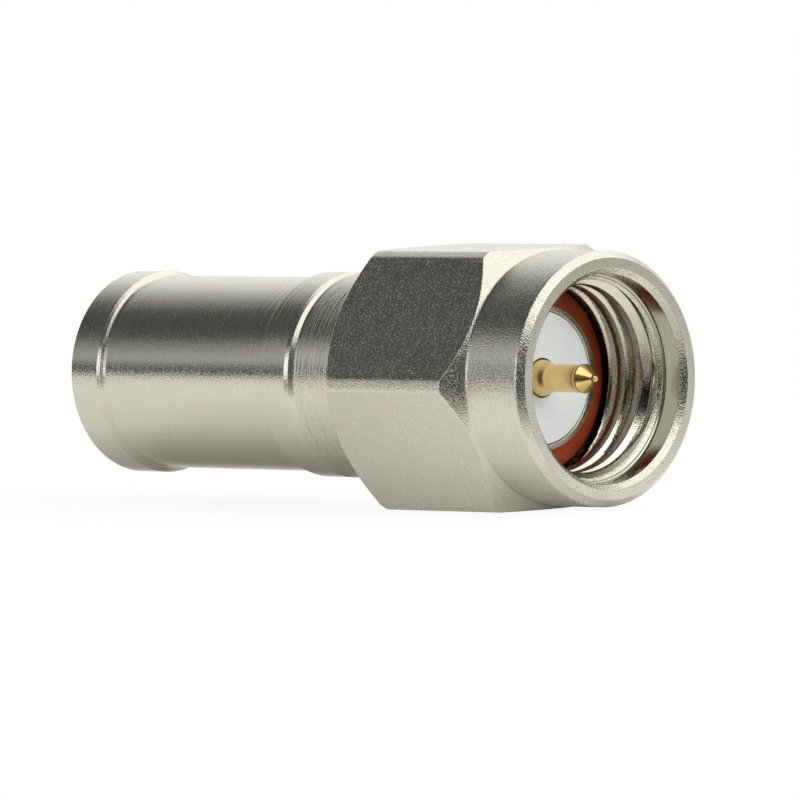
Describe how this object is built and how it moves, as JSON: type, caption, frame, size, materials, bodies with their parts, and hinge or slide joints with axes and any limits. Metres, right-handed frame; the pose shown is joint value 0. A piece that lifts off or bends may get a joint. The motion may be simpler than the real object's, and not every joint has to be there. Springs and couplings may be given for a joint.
{
  "type": "sma connector",
  "caption": "In-line coaxial adapter: threaded plug with free hexagon coupling nut, gasket and centre pin, joined to a push-on plug in a turned rear barrel.",
  "frame": {"origin": "centre of the mating plane of the threaded end, on the axis", "axes": "+X along the axis, out of the threaded end; +Z square to the upper flat of the coupling nut"},
  "size_m": [0.0209, 0.009, 0.008],
  "materials": {
    "nickel_plate": "satin nickel plating over turned brass",
    "bronze": "bare phosphor bronze",
    "silicone": "smooth red-brown silicone",
    "white_dielectric": "smooth waxy white",
    "gold_plate": "bright gold plating"
  },
  "bodies": {
    "adapter": {"front_body": "nickel_plate", "rear_barrel": "nickel_plate", "spring_sleeve": "gold_plate", "front_insulator": "white_dielectric", "rear_insulator": "white_dielectric", "center_pin": "gold_plate", "socket_contact": "gold_plate", "gasket": "silicone", "snap_ring": "bronze"},
    "nut": {"coupling_nut": "nickel_plate"}
  },
  "joints": [
    {"name": "nut_spin", "type": "hinge", "parent": "adapter", "child": "nut", "pos_m": [-0.003, 0, 0], "axis": [1, 0, 0], "continuous": true}
  ]
}
